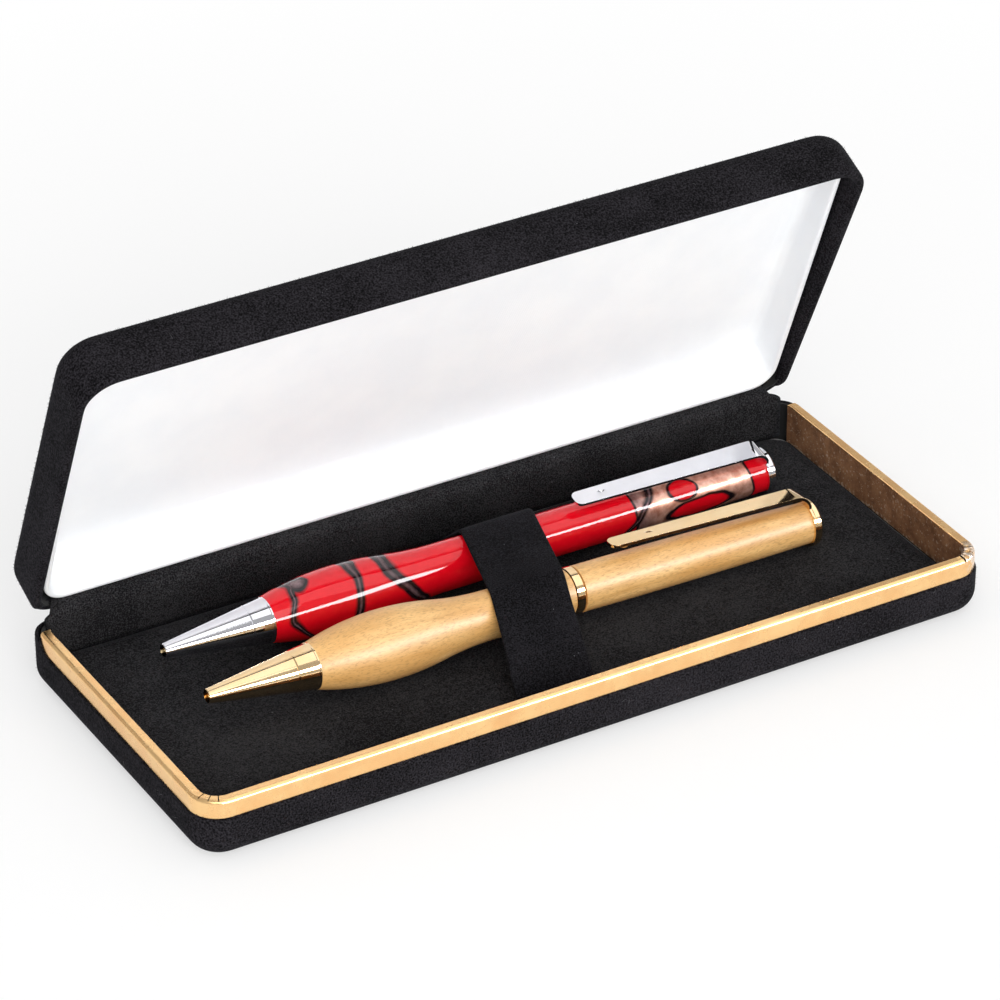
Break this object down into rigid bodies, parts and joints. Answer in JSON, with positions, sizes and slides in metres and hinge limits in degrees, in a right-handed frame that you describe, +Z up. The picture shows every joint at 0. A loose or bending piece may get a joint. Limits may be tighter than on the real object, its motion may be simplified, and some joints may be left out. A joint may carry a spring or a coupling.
{
  "type": "hinged pen box",
  "caption": "Velvet-covered presentation box with a hinged lid, satin lining and metal rim, holding twist pens under a cloth strap",
  "frame": {"origin": "centre of the underside of the base, on the surface the box stands on", "axes": "+X along the box towards the cap ends of the pens, +Y to the hinge side, +Z up"},
  "size_m": [0.1724, 0.0831, 0.0826],
  "materials": {
    "black_velvet": "black velvet with a short soft nap",
    "strap_cloth": "black velvet strap folded double",
    "white_satin": "white satin lining",
    "shell_sheet": "thin pressed steel sheet",
    "rim_metal": "pale gold-coloured strip, satin",
    "card": "grey-brown board",
    "foam": "thin soft foam",
    "hinge_steel": "plain steel",
    "red_acrylic": "polished red acrylic with dark veins",
    "light_wood": "turned light wood with a satin lacquer",
    "chrome_plate": "polished chrome plate",
    "gold_plate": "polished gold-coloured plate",
    "tube_brass": "plain brass",
    "refill_metal": "brass refill"
  },
  "bodies": {
    "base": {"base_shell": "shell_sheet", "base_cover": "black_velvet", "rim_trim": "rim_metal", "insert_board": "card", "insert_foam": "foam", "insert_cover": "black_velvet", "strap": "strap_cloth", "hinge_base_leaf": "hinge_steel", "hinge_pin": "hinge_steel", "snap_spring": "hinge_steel", "hinge_flap": "black_velvet"},
    "lid": {"hinge_lid_leaf": "hinge_steel", "lid_shell": "shell_sheet", "lid_cover": "black_velvet", "lining_card": "card", "lid_lining": "white_satin"},
    "red_pen_upper": {"red_pen_upper_tube": "tube_brass", "red_pen_upper_barrel": "red_acrylic", "red_pen_clip": "chrome_plate", "red_pen_cap": "chrome_plate", "red_pen_twist_driver": "tube_brass"},
    "red_pen_lower": {"red_pen_nib": "chrome_plate", "red_pen_lower_barrel": "red_acrylic", "red_pen_lower_tube": "tube_brass", "red_pen_centre_band": "chrome_plate", "red_pen_twist_sleeve": "tube_brass"},
    "red_pen_inner": {"red_pen_refill": "refill_metal"},
    "wood_pen_upper": {"wood_pen_upper_tube": "tube_brass", "wood_pen_upper_barrel": "light_wood", "wood_pen_clip": "gold_plate", "wood_pen_cap": "gold_plate", "wood_pen_twist_driver": "tube_brass"},
    "wood_pen_lower": {"wood_pen_nib": "gold_plate", "wood_pen_lower_barrel": "light_wood", "wood_pen_lower_tube": "tube_brass", "wood_pen_centre_band": "gold_plate", "wood_pen_twist_sleeve": "tube_brass"},
    "wood_pen_inner": {"wood_pen_refill": "refill_metal"}
  },
  "joints": [
    {"name": "lid_hinge", "type": "hinge", "parent": "base", "child": "lid", "pos_m": [0, 0.03595, 0.0132], "axis": [-1, 0, 0], "range_deg": [-66, 0], "deforming": ["hinge_flap", "snap_spring"]},
    {"name": "red_pen_lift", "type": "slide", "parent": "base", "child": "red_pen_upper", "axis": [0, -0.4067, 0.9135], "range_m": [0, 0.08], "deforming": ["strap"]},
    {"name": "red_pen_twist", "type": "hinge", "parent": "red_pen_upper", "child": "red_pen_lower", "pos_m": [-0.06855, 0.0135, 0.01333], "axis": [0.9998, 0.0131, -0.018], "range_deg": [0, 180]},
    {"name": "red_pen_refill_travel", "type": "slide", "parent": "red_pen_lower", "child": "red_pen_inner", "axis": [-0.9998, -0.0131, 0.018], "range_m": [0, 0.0042]},
    {"name": "wood_pen_lift", "type": "slide", "parent": "base", "child": "wood_pen_upper", "axis": [0, -0.4067, 0.9135], "range_m": [0, 0.08], "deforming": ["strap"]},
    {"name": "wood_pen_twist", "type": "hinge", "parent": "wood_pen_upper", "child": "wood_pen_lower", "pos_m": [-0.06895, -0.0052, 0.01391], "axis": [0.9997, -0.0052, -0.0226], "range_deg": [0, 180]},
    {"name": "wood_pen_refill_travel", "type": "slide", "parent": "wood_pen_lower", "child": "wood_pen_inner", "axis": [-0.9997, 0.0052, 0.0226], "range_m": [0, 0.0042]}
  ],
  "couplings": [
    {"joint": "red_pen_refill_travel", "follows": "red_pen_twist", "m_per_rad": 0.0013369},
    {"joint": "wood_pen_refill_travel", "follows": "wood_pen_twist", "m_per_rad": 0.0013369}
  ]
}
